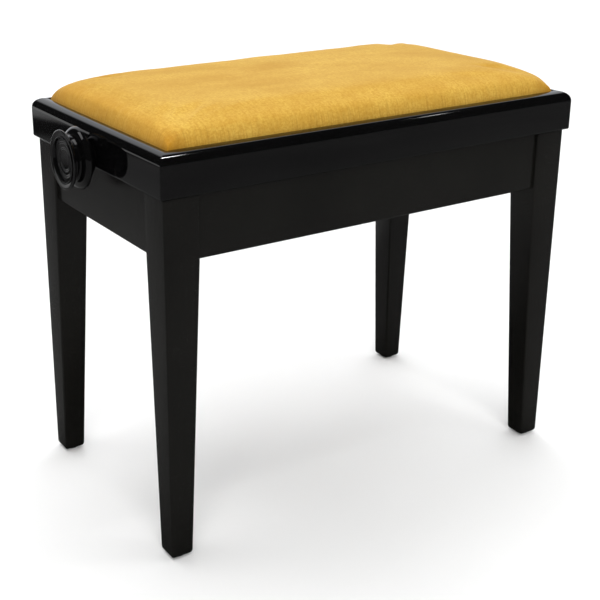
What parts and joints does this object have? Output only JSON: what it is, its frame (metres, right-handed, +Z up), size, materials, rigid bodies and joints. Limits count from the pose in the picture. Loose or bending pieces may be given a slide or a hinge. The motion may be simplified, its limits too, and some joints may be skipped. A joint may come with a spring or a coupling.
{
  "type": "piano bench",
  "caption": "Adjustable piano bench: black gloss wooden frame on square tapered legs, crowned velvet pad, knobs at the ends that raise the seat through a screw-driven scissor lift.",
  "frame": {"origin": "on the floor, under the middle of the seat", "axes": "+X along the bench's length, -Y the front, +Z up"},
  "size_m": [0.6254, 0.32, 0.4895],
  "materials": {
    "black_lacquer": "high-gloss lacquer",
    "gold_velvet": "short pile velvet",
    "foam": "open-cell foam",
    "plywood": "bare birch ply",
    "beech": "bare",
    "zinc_steel": "zinc plated",
    "black_steel": "satin black",
    "spring_steel": "black oxide",
    "brass": "satin",
    "nylon": "natural",
    "glide_plastic": "matt",
    "felt": "pressed felt"
  },
  "bodies": {
    "base": {"leg_front_left": "black_lacquer", "leg_front_right": "black_lacquer", "leg_rear_left": "black_lacquer", "leg_rear_right": "black_lacquer", "rail_front": "black_lacquer", "rail_rear": "black_lacquer", "rail_left": "black_lacquer", "rail_right": "black_lacquer", "corner_blocks": "beech", "leg_bolts": "zinc_steel", "leg_nuts": "zinc_steel", "foot_glides": "glide_plastic", "lower_guide_front": "zinc_steel", "lower_guide_rear": "zinc_steel", "lower_guide_screws": "zinc_steel", "lower_pivot_rod": "zinc_steel", "lower_pivot_clips": "spring_steel", "lower_pivot_spacers": "zinc_steel"},
    "arms_a": {"arm_a_front": "black_steel", "arm_a_rear": "black_steel", "lower_tube": "zinc_steel", "centre_rod": "zinc_steel", "centre_tube": "zinc_steel", "centre_washers": "zinc_steel", "centre_clips": "spring_steel"},
    "arms_b": {"arm_b_front": "black_steel", "arm_b_rear": "black_steel", "slider_rod": "zinc_steel", "slider_bushes": "nylon", "slider_clips": "spring_steel"},
    "crosshead": {"crosshead": "zinc_steel", "crosshead_spacers": "zinc_steel", "crosshead_clips": "spring_steel"},
    "seat": {"frame_front": "black_lacquer", "frame_rear": "black_lacquer", "frame_left": "black_lacquer", "frame_right": "black_lacquer", "seat_board": "plywood", "upper_guide_front": "zinc_steel", "upper_guide_rear": "zinc_steel", "upper_guide_screws": "zinc_steel", "upper_pivot_bolts": "zinc_steel", "upper_pivot_nuts": "zinc_steel", "bearing_plate_left": "zinc_steel", "bearing_plate_right": "zinc_steel", "bearing_plate_screws": "zinc_steel", "spindle_bushes": "brass", "pad_board": "plywood", "pad_foam": "foam", "pad_cover": "gold_velvet", "pad_screws": "zinc_steel"},
    "spindle": {"spindle": "zinc_steel", "thrust_collars": "zinc_steel", "knob_left": "black_lacquer", "knob_right": "black_lacquer", "knob_cap_left": "black_lacquer", "knob_cap_right": "black_lacquer", "knob_felts": "felt"}
  },
  "joints": [
    {"name": "seat_lift", "type": "hinge", "parent": "base", "child": "arms_a", "pos_m": [-0.17912, 0, 0.358], "axis": [0, -1, 0], "range_deg": [0, 15.78]},
    {"name": "centre_pivot", "type": "hinge", "parent": "arms_a", "child": "arms_b", "pos_m": [0, 0, 0.39025], "axis": [0, 1, 0], "range_deg": [0, 31.58]},
    {"name": "seat_level", "type": "hinge", "parent": "arms_b", "child": "seat", "pos_m": [-0.17912, 0, 0.4225], "axis": [0, -1, 0], "range_deg": [0, 15.8]},
    {"name": "crosshead_level", "type": "hinge", "parent": "arms_a", "child": "crosshead", "pos_m": [0.17912, 0, 0.4225], "axis": [0, 1, 0], "range_deg": [0, 15.8]},
    {"name": "spindle_turn", "type": "hinge", "parent": "seat", "child": "spindle", "pos_m": [0, 0, 0.4225], "axis": [1, 0, 0], "range_deg": [0, 2796.1]}
  ],
  "couplings": [
    {"joint": "centre_pivot", "follows": "seat_lift", "ratio": 2},
    {"joint": "seat_level", "follows": "seat_lift", "ratio": 1},
    {"joint": "crosshead_level", "follows": "seat_lift", "ratio": 1},
    {"joint": "spindle_turn", "follows": "seat_lift", "ratio": 177.05}
  ]
}
